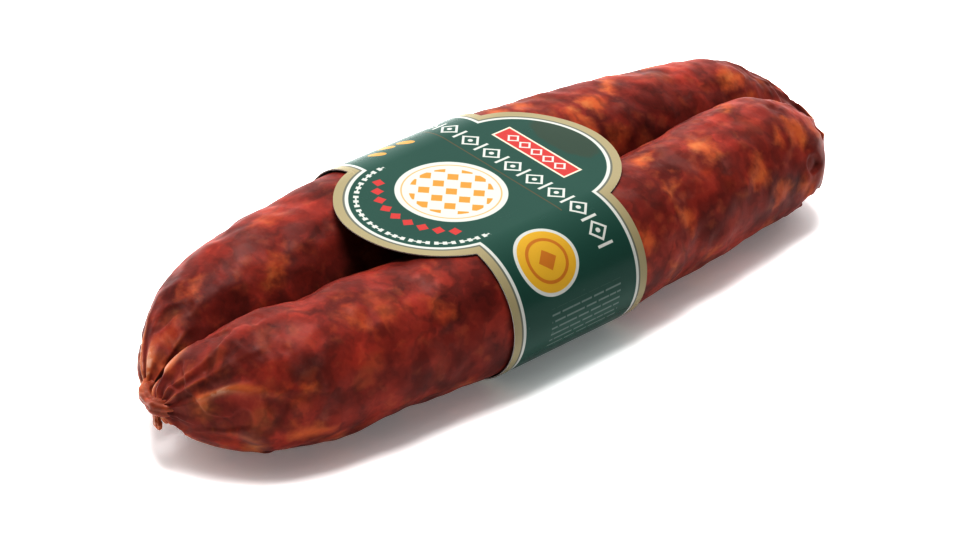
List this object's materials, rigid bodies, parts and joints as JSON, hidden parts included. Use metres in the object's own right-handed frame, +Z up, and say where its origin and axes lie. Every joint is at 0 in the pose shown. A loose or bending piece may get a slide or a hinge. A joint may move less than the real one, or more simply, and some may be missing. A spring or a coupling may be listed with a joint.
{
  "type": "cured sausage pair",
  "caption": "Two slim cured sausage links lying side by side, joined at a twist of casing, held together by a die-cut paper band with two round lobes.",
  "frame": {"origin": "below the middle of the bounding box, on the surface that the pair lies on", "axes": "+X along the pair, away from the casing twist; +Y towards the far, stouter link; +Z up"},
  "size_m": [0.2112, 0.0714, 0.0358],
  "materials": {
    "near_link": "satin",
    "far_link": "satin",
    "casing_twist": "satin",
    "label_band": "gloss"
  },
  "bodies": {
    "root": {"near_link": "near_link", "far_link": "far_link", "casing_twist": "casing_twist", "label_band": "label_band"}
  },
  "joints": []
}
